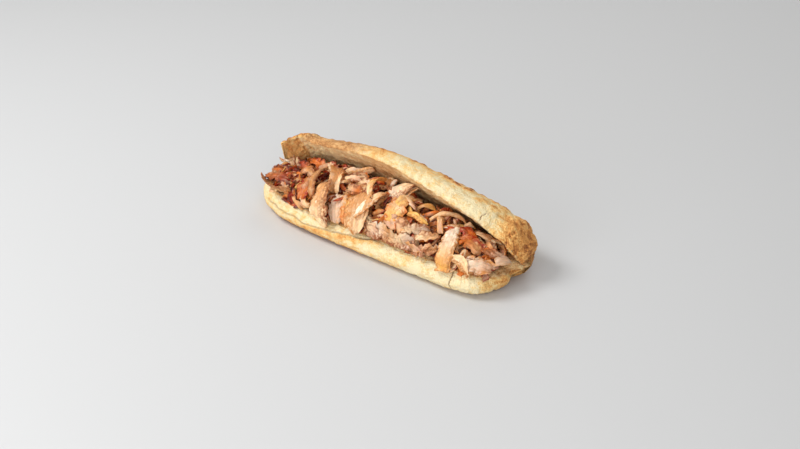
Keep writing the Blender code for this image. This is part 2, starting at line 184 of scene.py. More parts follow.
def lid_point(size, along, out):
    """A point of the lid, from its distance along and out from the lid's cut face."""
    cosine, sine = np.cos(size["angle"]), np.sin(size["angle"])
    y = size["hinge"] - along * cosine + out * sine
    crease_z = WAIST_Z + (size["crease"] - WAIST_Z) * size["squash"]
    return np.stack([size["x"] + 0 * y, y, crease_z + along * sine + out * cosine], axis=-1)


def front_crust(size, t):
    """The base's rounded front, from the underside up to the cut edge."""
    turn = np.radians(-90 + 165 * t)
    rise = np.where(turn < 0, WAIST_Z, BASE_THICK - WAIST_Z)
    return base_point(size, size["front"] + FRONT_REACH * (1 - np.cos(turn)), WAIST_Z + rise * np.sin(turn))


def base_crumb(size, t):
    """The base's cut face, from the front edge back to the crease."""
    y0 = front_crust(size, 1.0)[..., 1]
    z = BASE_THICK + (size["crease"] - BASE_THICK) * t - HOLLOW * np.sin(math.pi * t)
    return base_point(size, y0 + (size["hinge"] - y0) * t, z)


def lid_crumb(size, t):
    """The lid's cut face, from the crease up to its lip."""
    return lid_point(size, size["width"] * t, HOLLOW * np.sin(math.pi * t))


def lid_crust(size, t):
    """The lid's outside, from its lip over its top to its back."""
    turn = np.radians(138 * t)
    half = size["width"] / 2 + 4 * MM
    return lid_point(size, size["width"] - half * (1 - np.cos(turn)), size["lid"] * np.sin(turn))


def back_crust(size, t):
    """The back, from the lid's shoulder down to the waist and round to the underside."""
    shoulder = lid_crust(size, 1.0)
    waist_y, waist_z = size["back"], WAIST_Z
    y = shoulder[..., 1] + (waist_y - shoulder[..., 1]) * 2 * t + 1.5 * MM * np.sin(math.tau * t)
    upper = np.stack([size["x"] + 0 * t, y, shoulder[..., 2] + (waist_z - shoulder[..., 2]) * 2 * t], axis=-1)
    turn = math.pi * (t - 0.5)
    lower = base_point(size, waist_y - BACK_REACH * (1 - np.cos(turn)), WAIST_Z * (1 - np.sin(turn)))
    return np.where((t > 0.5)[..., None], lower, upper)


def underside(size, t):
    """The flat underside, from the back to the front."""
    y0, y1 = back_crust(size, np.ones_like(size["x"]))[..., 1], front_crust(size, 0.0)[..., 1]
    return base_point(size, y0 + (y1 - y0) * t, 0 * t)


def lid_setback(x, high=1.0):
    """How far a point at x moves right, by how high it is, where the lid's left end is cut short."""
    return LID_SETBACK * high * smooth(0.6, 1.0, x / LEFT_END)


def trim_end(points):
    """The points moved along X, for the lid's and the base's setbacks and the fold in the right end."""
    x, y, z = np.moveaxis(points, -1, 0)
    high = smooth(16 * MM, 26 * MM, z)
    fold = END_FOLD * np.exp(-((y / (6 * MM)) ** 2)) * smooth(0.75, 1.0, x / RIGHT_END)
    x = x + lid_setback(x, high)
    x = x - (1 - high) * (BASE_SETBACK * smooth(0.6, 1.0, x / RIGHT_END) + fold)
    return np.stack([x, y, z], axis=-1)


def grain(points, scale, shift=0.0):
    """Smooth noise at each point, from about -1 to 1, with features of about that scale."""
    flat = points.reshape(-1, 3) / scale
    values = [noise.noise(Vector((px + shift, py, pz))) for px, py, pz in flat]
    return np.array(values).reshape(points.shape[:-1])


def cells(points, scale):
    """Each point's distance to its nearest and its second nearest cell seed."""
    flat = points.reshape(-1, 3) / scale
    near = np.array([noise.voronoi(Vector(p))[0][:2] for p in flat])
    return near.reshape(points.shape[:-1] + (2,))


def vertices_of(piece):
    """The places of a piece's vertices, one a row."""
    spots = np.empty(len(piece.data.vertices) * 3)
    piece.data.vertices.foreach_get("co", spots)
    return spots.reshape(-1, 3)


def outward(points):
    """The outward normals of a closed grid of rings and points round each ring."""
    along = np.gradient(points, axis=0)
    round_ring = np.roll(points, -1, axis=1) - np.roll(points, 1, axis=1)
    normals = np.cross(along, round_ring)
    return normals / (np.linalg.norm(normals, axis=-1, keepdims=True) + 1e-12)


def swept_ball(name, grid, poles):
    """A ball whose rings are moved onto the grid's rows, and its poles onto the two given points."""
    rings, sides = grid.shape[0] + 1, grid.shape[1]
    bpy.ops.object.select_all(action="DESELECT")
    bpy.ops.mesh.primitive_uv_sphere_add(segments=sides, ring_count=rings, radius=1)
    ball = bpy.context.object
    ball.name = ball.data.name = name
    spots = vertices_of(ball)
    ring = np.round(np.arccos(np.clip(spots[:, 2], -1, 1)) / math.pi * rings).astype(int)
    side = np.round(np.arctan2(spots[:, 1], spots[:, 0]) / math.tau * sides).astype(int) % sides
    moved = grid[np.clip(ring - 1, 0, rings - 2), side]
    moved[ring == 0], moved[ring == rings] = poles[0], poles[1]
    ball.data.vertices.foreach_set("co", moved.ravel())
    ball.data.update()
    ball.data.shade_smooth()
    return ball, ring, side


def in_box(points):
    """The points, held inside the solid's own size."""
    return np.clip(points, np.array(cad_box[0]) + 0.02 * MM, np.array(cad_box[1]) - 0.02 * MM)


def paint(piece, name, colours):
    """Stores one colour, or one a vertex, under that name, for the piece's finish to read."""
    layer = piece.data.color_attributes.new(name, "FLOAT_COLOR", "POINT")
    values = np.ones((len(piece.data.vertices), 4))
    values[:, :3] = colours
    layer.data.foreach_set("color", values.ravel())


# The stretches round a cross section: how each is shaped, and its number of points.
LOAF_SPANS = (
    ("front", front_crust, 42),
    ("base_crumb", base_crumb, 26),
    ("lid_crumb", lid_crumb, 54),
    ("lid_crust", lid_crust, 66),
    ("back", back_crust, 22),
    ("under", underside, 8),
)

# The rings, closer together at the ends, and the points round each one.
ring_share = np.arange(1, LOAF_RINGS) / LOAF_RINGS
ring_x = LEFT_END + (RIGHT_END - LEFT_END) * (0.6 * ring_share + 0.2 * (1 - np.cos(math.pi * ring_share)))
loaf_x, loaf_t, loaf_span, loaf_grid = [], [], [], []
for span, shape, count in LOAF_SPANS:
    t, x = np.meshgrid(np.arange(count) / count, ring_x)
    loaf_grid.append(trim_end(shape(section_sizes(x), t)))
    loaf_x.append(x)
    loaf_t.append(t)
    loaf_span += [span] * count
loaf_grid = np.concatenate(loaf_grid, axis=1)
loaf_x, loaf_t = np.concatenate(loaf_x, axis=1), np.concatenate(loaf_t, axis=1)
loaf_span = np.array(loaf_span)
on = {span: np.broadcast_to(loaf_span == span, loaf_x.shape) for span, _, _ in LOAF_SPANS}

# Knobs of the crust, as in the solid, then finer relief: lumps and a wrinkled skin, deeper wrinkles at
# the right end, a torn ledge along the front, two cracks, and pores and streaks in the cut crumb.
knob_mask = np.where(on["lid_crust"], smooth(0.1, 0.45, loaf_t), 0.0)
knob_mask += 0.7 * on["back"] + 0.25 * on["front"]
knobs = np.maximum(0, 1 - 1.3 * cells(loaf_grid, KNOB_SPACING)[..., 0]) - 0.5
in_section = outward(loaf_grid)
in_section[..., 0] = 0
in_section /= np.linalg.norm(in_section, axis=-1, keepdims=True) + 1e-9
loaf_grid = loaf_grid + in_section * (KNOB_HEIGHT * knob_mask * knobs)[..., None]

crust = np.where(on["base_crumb"] | on["lid_crumb"], 0.0, 1.0)
lumps = grain(loaf_grid, 13 * MM, 3)
fine = grain(loaf_grid, 3.2 * MM, 8)
right_end = smooth(88 * MM, 122 * MM, loaf_x)
wrinkle = 1 - np.abs(grain(loaf_grid * (0.5, 1.0, 1.3), 6 * MM, 21))
skin = 1 - np.abs(grain(loaf_grid * (0.45, 1.0, 1.0), 3.4 * MM, 29))
edge_torn = on["lid_crust"] * smooth(0.14, 0.0, loaf_t) + on["lid_crumb"] * smooth(0.86, 1.0, loaf_t)
relief = crust * (LUMP_HEIGHT * lumps + FINE_HEIGHT * fine + SKIN_HEIGHT * (skin**3 - 0.4))
relief += edge_torn * EDGE_HEIGHT * grain(loaf_grid, 4 * MM, 33)
relief += crust * right_end * (1 - 0.8 * on["front"]) * WRINKLE_HEIGHT * (wrinkle**3 - 0.45)

ledge_x = np.array([-104, -92, -80, -68, -56, -42, -28, -14, 2, 18]) * MM
ledge_t = np.array([0.66, 0.70, 0.64, 0.70, 0.60, 0.66, 0.72, 0.80, 0.86, 1.0])
ledge_at = np.interp(loaf_x, ledge_x, ledge_t) + 0.03 * grain(loaf_grid * (1, 0, 0), 6 * MM, 2)
ledge_on = on["front"] * smooth(-112 * MM, -100 * MM, loaf_x) * smooth(24 * MM, 10 * MM, loaf_x)
ledge_gap = np.exp(-(((loaf_t - ledge_at) / 0.026) ** 2)) * ledge_on
ledge_lip = smooth(0.0, 0.06, ledge_at - loaf_t) * smooth(0.30, 0.06, ledge_at - loaf_t) * ledge_on
relief += LEDGE_HEIGHT * ledge_lip - LEDGE_GAP * ledge_gap

cracks = np.zeros_like(loaf_x)
for crack_x, lean, wobble, span, low, high, width in (
    (91, -1.5, 1.5, "front", 0.05, 1.0, 0.5),
    (97, 5.0, 2.5, "lid_crust", 0.02, 0.26, 0.3),
):
    waver = wobble * MM * grain(loaf_grid * (0, 1, 1), 6 * MM, crack_x)
    line = (crack_x + lean * (loaf_t - 0.5) * 2) * MM + waver
    taper = smooth(low - 0.02, low + 0.05, loaf_t) * smooth(high + 0.02, high - 0.1, loaf_t)
    cracks += np.exp(-(((loaf_x - line) / (width * MM)) ** 2)) * taper * on[span]
relief -= CRACK_DEPTH * cracks

crumb = 1 - crust
pores = cells(loaf_grid * (0.6, 1.0, 1.0), 3.4 * MM)[..., 0]
big_pores = cells(loaf_grid * (0.7, 1.0, 1.0), 8.0 * MM)[..., 0]
inner = crumb * smooth(0, 0.06, loaf_t) * smooth(1.0, 0.94, loaf_t)
streaks = grain(loaf_grid * (0.16, 1, 1), 5 * MM, 40) + 0.6 * grain(loaf_grid * (0.35, 1, 1), 2.2 * MM, 44)
holes = smooth(0.42, 0.1, pores) + smooth(0.30, 0.08, big_pores)
relief += inner * (STREAK_HEIGHT * streaks - PORE_DEPTH * holes)
loaf_grid = loaf_grid + outward(loaf_grid) * relief[..., None]
torn_end = smooth(-114 * MM, -122 * MM, loaf_x) * (on["lid_crust"] | on["lid_crumb"])
loaf_grid[..., 0] += torn_end * 2.2 * MM * (0.6 + grain(loaf_grid * (0, 1, 1), 4 * MM, 35))
loaf_grid[..., 2] = np.maximum(loaf_grid[..., 2], 0.0)
loaf_grid = loaf_grid - MIDDLE

end_sizes = section_sizes(np.array([LEFT_END, RIGHT_END]))
loaf_poles = np.stack([end_sizes["x"], end_sizes["hinge"] + 2 * MM, 0 * end_sizes["x"] + WAIST_Z], axis=-1)
loaf, loaf_ring, loaf_side = swept_ball("loaf", in_box(loaf_grid), trim_end(loaf_poles) - MIDDLE)

# How browned each place is: pale and floured along the lid's and the base's fronts, golden on the
# left of the ridge and low on the front, scorched at the front's left, brown on the knobs, the back
# and the right end. In the crumb it is how pale the toasting left it, painted lighter towards the left
# as painted light on its shaded face. The lid's thin front at the left is bared to its crumb.
ridge = on["lid_crust"] * smooth(0.20, 0.42, loaf_t) * (0.35 + 0.65 * smooth(0.80, 0.55, loaf_t))
knob_tops = smooth(-0.35, 0.25, knobs) * (1 - 0.8 * smooth(80 * MM, 105 * MM, loaf_x))
golden = on["lid_crust"] * smooth(5 * MM, -35 * MM, loaf_x) * smooth(-0.05, 0.10, loaf_t)
golden = golden * (0.3 + 0.7 * smooth(0.85, 0.5, loaf_t))
bake = 0.14 + 0.12 * lumps + 0.10 * fine + 0.50 * golden + 0.10 * crust * smooth(0.75, 0.3, skin)
bake -= 0.10 * smooth(20 * MM, 70 * MM, loaf_x)
knob_bake = 0.36 * knob_tops * smooth(-60 * MM, -10 * MM, loaf_x) * (0.9 + 0.8 * lumps)
bake += ridge * (0.20 + knob_bake + 0.2 * knob_tops)
bake += on["back"] * (0.32 + 0.12 * knobs + 0.15 * lumps) + on["under"] * 0.5
ledge_bake = 0.30 * ledge_lip * smooth(-70 * MM, -40 * MM, loaf_x)
bake += on["front"] * (0.34 * smooth(0.42, 0.12, loaf_t) + ledge_bake)
bake += on["front"] * 0.20 * smooth(0.93, 1.0, loaf_t)
scorched = smooth(-124 * MM, -80 * MM, loaf_x) * smooth(14 * MM, -14 * MM, loaf_x)
bake += on["front"] * scorched * 0.34 * smooth(0.66, 0.25, loaf_t + 0.08 * lumps)
turned = np.where(on["front"], 0.7 * smooth(108 * MM, 126 * MM, loaf_x), right_end)
bake = np.maximum(bake, crust * turned * (0.56 + 0.24 * smooth(0.1, 0.8, 1 - wrinkle + 0.3 * lumps)))
bake += 0.22 * turned * crust * smooth(0.8, 0.3, skin)
# Painted light: the crumb is made paler towards the left, standing in for light on its shaded face.
crumb_painted_light = 0.3 * smooth(-10 * MM, -80 * MM, loaf_x)
bake = np.minimum(bake, 0.74 + 0.1 * lumps + 0.1 * fine)
bake = np.where(crumb > 0, 0.60 + crumb_painted_light + 0.45 * streaks - 0.3 * holes, bake)
lip = on["lid_crumb"] * smooth(0.93, 0.99, loaf_t + 0.03 * fine) * smooth(-45 * MM, -10 * MM, loaf_x)
lip += on["lid_crumb"] * smooth(-121.5 * MM, -123 * MM, loaf_x + MM * fine) * smooth(0.2, 0.4, loaf_t)
crumb = np.clip(crumb - 0.8 * lip, 0, 1)
bake = bake + lip * (0.45 - bake)
crumb += on["lid_crust"] * 0.35 * smooth(0.035, 0.0, loaf_t + 0.02 * fine) * (1 - golden)
bared = on["lid_crust"] * smooth(-15 * MM, -50 * MM, loaf_x) * smooth(0.33, 0.30, loaf_t + 0.03 * fine)
bared *= smooth(-120 * MM, -116 * MM, loaf_x + 2 * MM * fine)
crumb = np.maximum(crumb, bared)
bake = bake + bared * (0.05 + 0.7 * streaks - bake)
# Painted shade: the ledge's gap, the cracks and the hollows of the wrinkles at the right end are painted
# darker, as the shade that lies in them.
dark = np.clip(0.55 * ledge_gap + cracks + turned * crust * 0.25 * smooth(0.6, 0.35, wrinkle), 0, 1)
tones = np.stack([np.clip(bake, 0, 1), crumb, dark], axis=-1)
paint(loaf, "bread_tones", tones[np.clip(loaf_ring - 1, 0, LOAF_RINGS - 2), loaf_side])


def add_node(tree, kind, **values):
    """A shader node with its settings and its sockets' plain values."""
    node = tree.nodes.new(kind)
    for key, value in values.items():
        if key in node.inputs:
            node.inputs[key].default_value = value
        else:
            setattr(node, key, value)
    return node


def ramp(tree, factor, stops):
    """A colour ramp on a factor, with its stops as (place, colour)."""
    node = tree.nodes.new("ShaderNodeValToRGB")
    tree.links.new(factor, node.inputs["Fac"])
    while len(node.color_ramp.elements) < len(stops):
        node.color_ramp.elements.new(0.5)
    for element, (place, colour) in zip(node.color_ramp.elements, stops):
        element.position, element.color = place, colour
    return node.outputs["Color"]


def blend(tree, factor, low, high, mode="MIX"):
    """Two colours mixed, each a socket or a plain colour, and the factor a socket or a number."""
    node = tree.nodes.new("ShaderNodeMix")
    node.data_type, node.blend_type = "RGBA", mode
    for socket, value in ((node.inputs[0], factor), (node.inputs[6], low), (node.inputs[7], high)):
        if isinstance(value, bpy.types.NodeSocket):
            tree.links.new(value, socket)
        else:
            socket.default_value = value
    return node.outputs[2]


def sum_of(tree, operation, first, second):
    """Two numbers put together by a Math operation, each a socket or a plain number."""
    node = tree.nodes.new("ShaderNodeMath")
    node.operation = operation
    for socket, value in zip(node.inputs, (first, second)):
        if isinstance(value, bpy.types.NodeSocket):
            tree.links.new(value, socket)
        else:
            socket.default_value = value
    return node.outputs[0]


def swing(tree, mask, amount):
    """A mask from 0 to 1 as a swing about 0, that wide."""
    return sum_of(tree, "MULTIPLY", sum_of(tree, "SUBTRACT", mask, 0.5), amount)


def speckle(tree, scale, detail, low, high, coordinates=None):
    """A noise between two thresholds, as a mask from 0 to 1."""
    source = coordinates or tree.nodes.new("ShaderNodeTexCoord").outputs["Object"]
    texture = add_node(tree, "ShaderNodeTexNoise", Scale=scale, Detail=detail)
    tree.links.new(source, texture.inputs["Vector"])
    limits = add_node(tree, "ShaderNodeMapRange")
    limits.interpolation_type = "SMOOTHSTEP"
    limits.inputs["From Min"].default_value, limits.inputs["From Max"].default_value = low, high
    tree.links.new(texture.outputs["Fac"], limits.inputs["Value"])
    return limits.outputs["Result"]


bread = bpy.data.materials.new("baked_bread")
bread.use_nodes = True
tree = bread.node_tree
shader = tree.nodes["Principled BSDF"]
painted = add_node(tree, "ShaderNodeVertexColor", layer_name="bread_tones")
parts = tree.nodes.new("ShaderNodeSeparateColor")
tree.links.new(painted.outputs["Color"], parts.inputs["Color"])
blotch = speckle(tree, 160, 4, 0.3, 0.7)
freckle = speckle(tree, 900, 3, 0.35, 0.75)
baked = sum_of(tree, "ADD", parts.outputs["Red"], swing(tree, blotch, 0.26))
baked = sum_of(tree, "ADD", baked, swing(tree, freckle, 0.22))
crust_colour = ramp(
    tree,
    baked,
    (
        (0.0, linear(248, 230, 186)),
        (0.16, linear(246, 216, 158)),
        (0.34, linear(248, 200, 126)),
        (0.54, linear(232, 160, 84)),
        (0.76, linear(172, 104, 54)),
        (1.0, linear(96, 50, 24)),
    ),
)
toast = speckle(tree, 240, 6, 0.25, 0.75)
sandy = speckle(tree, 1100, 3, 0.3, 0.7)
crumb_tone = sum_of(tree, "ADD", sum_of(tree, "MULTIPLY", toast, 0.30), sum_of(tree, "MULTIPLY", sandy, 0.30))
crumb_tone = sum_of(tree, "ADD", crumb_tone, sum_of(tree, "MULTIPLY", parts.outputs["Red"], 0.60))
crumb_colour = ramp(
    tree,
    crumb_tone,
    (
        (0.0, linear(130, 76, 36)),
        (0.3, linear(206, 146, 88)),
        (0.6, linear(244, 194, 132)),
        (1.0, linear(255, 228, 176)),
    ),
)
colour = blend(tree, parts.outputs["Green"], crust_colour, crumb_colour)
# The blue tone is painted shade, darkening the bread in its gaps, cracks and hollows.
colour = blend(tree, parts.outputs["Blue"], colour, linear(120, 66, 30))
tree.links.new(colour, shader.inputs["Base Color"])
shader.inputs["Roughness"].default_value = 0.72
shader.inputs["Specular IOR Level"].default_value = 0.3
shader.inputs["Subsurface Weight"].default_value = 0.06
shader.inputs["Subsurface Radius"].default_value = (0.006, 0.004, 0.002)
shader.inputs["Subsurface Scale"].default_value = 0.5
bump = add_node(tree, "ShaderNodeBump", Strength=0.7, Distance=0.0009)
height = sum_of(tree, "ADD", freckle, sum_of(tree, "MULTIPLY", toast, parts.outputs["Green"]))
tree.links.new(height, bump.inputs["Height"])
tree.links.new(bump.outputs["Normal"], shader.inputs["Normal"])
loaf.data.materials.append(bread)
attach(loaf, "root")
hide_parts("bread")

# ---------------------------------------------------------------- chicken core
# The inside of the heap, where small scraps lie too deep to be told apart. It fills the split between
# the base and the lid, and shows only as lumpy meat in the gaps, painted dark as the shade in them.

HEAP_LEFT = -119 * MM
HEAP_RIGHT = 112 * MM
HEAP_PEAK_X = -5 * MM
HEAP_TALL = 42 * MM
HEAP_FALL = 18 * MM
CLEARANCE = 1.3 * MM
CORE_RINGS = 150
CORE_SIDES = 72
CORE_DEPTH = 5.0 * MM
PIT_DEPTH = 2.2 * MM


def unit(vectors):
    """The vectors at length 1."""
    return vectors / (np.linalg.norm(vectors, axis=-1, keepdims=True) + 1e-12)


def heap_surface(x, t):
    """The heap's surface: t runs from 0 at the base's edge to 1 at the lid, and below 0 over the crust."""
    x, t = np.broadcast_arrays(np.asarray(x, float), np.asarray(t, float))
    size = section_sizes(x)
    edge = front_crust(size, 1.0)
    share = (x - HEAP_PEAK_X) / (np.where(x > HEAP_PEAK_X, HEAP_RIGHT, HEAP_LEFT) - HEAP_PEAK_X)
    top = HEAP_TALL - HEAP_FALL * np.minimum(1.2, np.maximum(share, 0) ** 2.2)
    lid = lid_crumb(size, 0.55 * np.minimum(1, top / HEAP_TALL))
    start = edge[..., 1:] + np.array([-CLEARANCE, CLEARANCE])
    rise = np.stack([edge[..., 1] + 1 * MM, top * 0.95], axis=-1)
    crown = np.stack([size["hinge"] * 0.2 + edge[..., 1] * 0.3, top * 1.12], axis=-1)
    end = lid[..., 1:] - 2 * CLEARANCE
    v = np.clip(t, 0, None)[..., None]
    u = 1 - v
    curve = u**3 * start + 3 * u * u * v * rise + 3 * u * v * v * crown + v**3 * end
    over = front_crust(size, np.maximum(0.2, 1 + t * 0.55))[..., 1:]
    over = over + np.stack([2.4 * MM * t - CLEARANCE, 0 * t + CLEARANCE], axis=-1)
    curve = np.where((t < 0)[..., None], over, curve)
    return np.concatenate([x[..., None], curve], axis=-1)


def heap_frame(x, t):
    """Points of the heap, with the directions along the loaf, up the heap and out of it."""
    along = unit(heap_surface(x + 2 * MM, t) - heap_surface(x - 2 * MM, t))
    up = unit(heap_surface(x, t + 0.02) - heap_surface(x, t - 0.02))
    return heap_surface(x, t), along, up, unit(np.cross(along, up))


def keep_clear(points, gap=0.5 * MM):
    """The points, moved out of the bread where they would come closer than the gap."""
    x, y, z = (np.array(part) for part in np.moveaxis(points, -1, 0))
    before = np.linspace(LEFT_END, RIGHT_END, 259)
    for lid_x in (x, np.interp(x, before + lid_setback(before), before)):
        size = section_sizes(lid_x)
        cosine, sine = np.cos(size["angle"]), np.sin(size["angle"])
        crease_z = WAIST_Z + (size["crease"] - WAIST_Z) * size["squash"]
        into_lid = np.maximum(0, (y - size["hinge"]) * sine + (z - crease_z) * cosine + gap)
        y, z = y - into_lid * sine, z - into_lid * cosine
    size = section_sizes(x)
    edge = front_crust(size, 1.0)
    crease_z = WAIST_Z + (size["crease"] - WAIST_Z) * size["squash"]
    over_crumb = y > edge[..., 1]
    slope = (y - edge[..., 1]) / (size["hinge"] - edge[..., 1])
    z = np.where(over_crumb, np.maximum(z, edge[..., 2] + (crease_z - edge[..., 2]) * slope + gap), z)
    across = (y - size["front"] - FRONT_REACH) / (FRONT_REACH + gap)
    rise = (BASE_THICK - WAIST_Z) * size["squash"] + gap
    up = (z - WAIST_Z) / rise
    inside = np.hypot(across, up)
    push = ~over_crumb & (inside < 1)
    y = np.where(push, size["front"] + FRONT_REACH + across / inside * (FRONT_REACH + gap), y)
    z = np.where(push, WAIST_Z + up / inside * rise, z)
    return np.stack([x, y, z], axis=-1)


core_share = np.arange(1, CORE_RINGS) / CORE_RINGS
core_x = HEAP_LEFT + (HEAP_RIGHT - HEAP_LEFT) * core_share
upper_count = CORE_SIDES // 2
core_rows = []
for i in range(upper_count):
    spot, _, _, out = heap_frame(core_x, 0.02 + 0.95 * i / (upper_count - 1))
    pits = grain(spot * (0.8, 1, 1), 7 * MM, 60) + 0.6 * grain(spot, 3 * MM, 61)
    core_rows.append(spot - out * (CORE_DEPTH + PIT_DEPTH * pits)[:, None])
crease = lid_crumb(section_sizes(core_x), 0.0) + np.array([0, -2 * CLEARANCE, 2 * CLEARANCE])
for i in range(1, CORE_SIDES - upper_count + 1):
    t = i / (CORE_SIDES - upper_count + 1)
    here = core_rows[upper_count - 1] * (1 - 2 * t) + crease * 2 * t
    if t > 0.5:
        here = crease * (2 - 2 * t) + core_rows[0] * (2 * t - 1)
    core_rows.append(here)
core_grid = np.stack(core_rows, axis=1)
core_middle = core_grid.mean(axis=1, keepdims=True)
shrink = np.sin(np.minimum(1, np.minimum(6 * core_share, 6 * (1 - core_share))) * math.pi / 2) ** 0.5
core_grid = keep_clear(core_middle + (core_grid - core_middle) * shrink[:, None, None])
core_poles = core_middle[[0, -1], 0] + np.array([[-1, 0, 0], [1, 0, 0]]) * MM
core, _, _ = swept_ball("chicken_core", core_grid - MIDDLE, core_poles - MIDDLE)


def roast_grain():
    """The grain of roast chicken: its face and rim colours mixed by how near the edge a place is,
    with paler and darker fibres along the cut, painted shade in the folds' hollows and painted light on their
    crests, browned blotches and specks of spice."""
    group = bpy.data.node_groups.new("roast_grain", "ShaderNodeTree")
    for way, name, kind in (
        ("INPUT", "Face", "Color"),
        ("INPUT", "Rim", "Color"),
        ("INPUT", "Edge", "Float"),
        ("INPUT", "Cut", "Vector"),
        ("INPUT", "Spice", "Float"),
        ("INPUT", "FoldShade", "Float"),
        ("OUTPUT", "Color", "Color"),
        ("OUTPUT", "Roughness", "Float"),
        ("OUTPUT", "Height", "Float"),
    ):
        group.interface.new_socket(name, in_out=way, socket_type="NodeSocket" + kind)
    given = group.nodes.new("NodeGroupInput")
    result = group.nodes.new("NodeGroupOutput")
    stretch = add_node(group, "ShaderNodeMapping", Scale=(0.3, 1.5, 1.0))
    group.links.new(given.outputs["Cut"], stretch.inputs["Vector"])
    fibres = speckle(group, 5, 6, 0.28, 0.72, stretch.outputs["Vector"])
    mottle = speckle(group, 2.6, 3, 0.35, 0.68, given.outputs["Cut"])
    sear = speckle(group, 5.5, 4, 0.38, 0.62, given.outputs["Cut"])
    rim = sum_of(group, "ADD", given.outputs["Edge"], swing(group, sear, 0.45))
    rim_limits = add_node(group, "ShaderNodeMapRange")
    rim_limits.inputs["From Min"].default_value, rim_limits.inputs["From Max"].default_value = 0.5, 1.05
    group.links.new(rim, rim_limits.inputs["Value"])
    cream = sum_of(group, "MULTIPLY", speckle(group, 1.9, 3, 0.50, 0.72, given.outputs["Cut"]), 0.28)
    browned = given.outputs["Rim"]
    colour = blend(group, sum_of(group, "MULTIPLY", mottle, 0.34), given.outputs["Face"], browned)
    colour = blend(group, cream, colour, linear(252, 232, 200))
    colour = blend(group, rim_limits.outputs["Result"], colour, browned)
    # Painted light and shade: the fold mask darkens the hollows and lightens the crests, on top of the
    # fibres' own paler and darker streaks.
    lightness = add_node(group, "ShaderNodeMapRange")
    lightness.inputs["To Min"].default_value, lightness.inputs["To Max"].default_value = 0.62, 1.16
    shade = sum_of(group, "MULTIPLY", sum_of(group, "ADD", fibres, given.outputs["FoldShade"]), 0.5)
    group.links.new(shade, lightness.inputs["Value"])
    tint = group.nodes.new("ShaderNodeVectorMath")
    tint.operation = "SCALE"
    group.links.new(colour, tint.inputs[0])
    group.links.new(lightness.outputs["Result"], tint.inputs["Scale"])
    dots = speckle(group, 26, 2, 0.66, 0.72, given.outputs["Cut"])
    dots = sum_of(group, "MULTIPLY", dots, given.outputs["Spice"])
    colour = blend(group, dots, tint.outputs["Vector"], linear(150, 52, 14))
    group.links.new(colour, result.inputs["Color"])
    wet = add_node(group, "ShaderNodeMapRange")
    wet.inputs["To Min"].default_value, wet.inputs["To Max"].default_value = 0.38, 0.62
    group.links.new(mottle, wet.inputs["Value"])
    group.links.new(wet.outputs["Result"], result.inputs["Roughness"])
    relief = sum_of(group, "ADD", fibres, sum_of(group, "MULTIPLY", sear, 0.6))
    group.links.new(relief, result.inputs["Height"])
    return group


roast_group = roast_grain()


def chicken_finish(name, bump_height, shine):
    """Moist roast chicken whose colours and grain come from what is painted on the piece."""
    finish = bpy.data.materials.new(name)
    finish.use_nodes = True
    tree = finish.node_tree
    shader = tree.nodes["Principled BSDF"]
    look = tree.nodes.new("ShaderNodeGroup")
    look.node_tree = roast_group
    for layer, socket in (("face", "Face"), ("rim", "Rim"), ("cut", "Cut")):
        source = add_node(tree, "ShaderNodeVertexColor", layer_name=layer)
        tree.links.new(source.outputs["Color"], look.inputs[socket])
    cook_and_shade = add_node(tree, "ShaderNodeVertexColor", layer_name="cook_and_shade")
    parts = tree.nodes.new("ShaderNodeSeparateColor")
    tree.links.new(cook_and_shade.outputs["Color"], parts.inputs["Color"])
    tree.links.new(parts.outputs["Red"], look.inputs["Edge"])
    tree.links.new(parts.outputs["Green"], look.inputs["Spice"])
    tree.links.new(parts.outputs["Blue"], look.inputs["FoldShade"])
    tree.links.new(look.outputs["Color"], shader.inputs["Base Color"])
    tree.links.new(look.outputs["Roughness"], shader.inputs["Roughness"])
    bump = add_node(tree, "ShaderNodeBump", Strength=0.7, Distance=bump_height)
    tree.links.new(look.outputs["Height"], bump.inputs["Height"])
    tree.links.new(bump.outputs["Normal"], shader.inputs["Normal"])
    shader.inputs["Subsurface Weight"].default_value = 0.12
    shader.inputs["Subsurface Radius"].default_value = (0.004, 0.002, 0.001)
    shader.inputs["Subsurface Scale"].default_value = 0.6
    shader.inputs["Specular IOR Level"].default_value = shine
    return finish


carved_chicken = chicken_finish("carved_chicken", 0.3 * MM, 0.45)
crisp_chicken = chicken_finish("crisp_chicken", 0.9 * MM, 0.16)
# Painted shade: the core's reddish meat is painted very dark, as the shade in the gaps where it shows.
CORE_FACE_IN_SHADE = (126, 38, 8)
CORE_RIM_IN_SHADE = (74, 14, 2)
paint(core, "face", linear(*CORE_FACE_IN_SHADE)[:3])
paint(core, "rim", linear(*CORE_RIM_IN_SHADE)[:3])
paint(core, "cut", vertices_of(core) * 100)
paint(core, "cook_and_shade", (0.3, 0.5, 0.5))
core.data.materials.append(crisp_chicken)
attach(core, "root")
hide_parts("meat")

# ---------------------------------------------------------------- carved slices
# The slices that can be told apart, shaved thin off the spit: moist and pale inside, browned along
# the rim that faced the fire, some rubbed red with spice. They lie on the heap, sag and curl.

WHITE = (250, 230, 204)
PALE = (248, 208, 160)
PINK = (234, 182, 146)
ASHEN = (214, 180, 152)
TAN = (224, 162, 102)
GOLD = (248, 190, 100)
HONEY = (228, 160, 72)
AMBER = (206, 136, 70)
ORANGE = (216, 116, 38)
RED = (160, 44, 6)
CHESTNUT = (164, 100, 54)
BROWN = (150, 84, 38)
DARK = (86, 24, 2)
SLICE_THICK = 1.5 * MM
SLICE_TOP = 0.8 * MM
SLICE_WAVE = 1.0 * MM

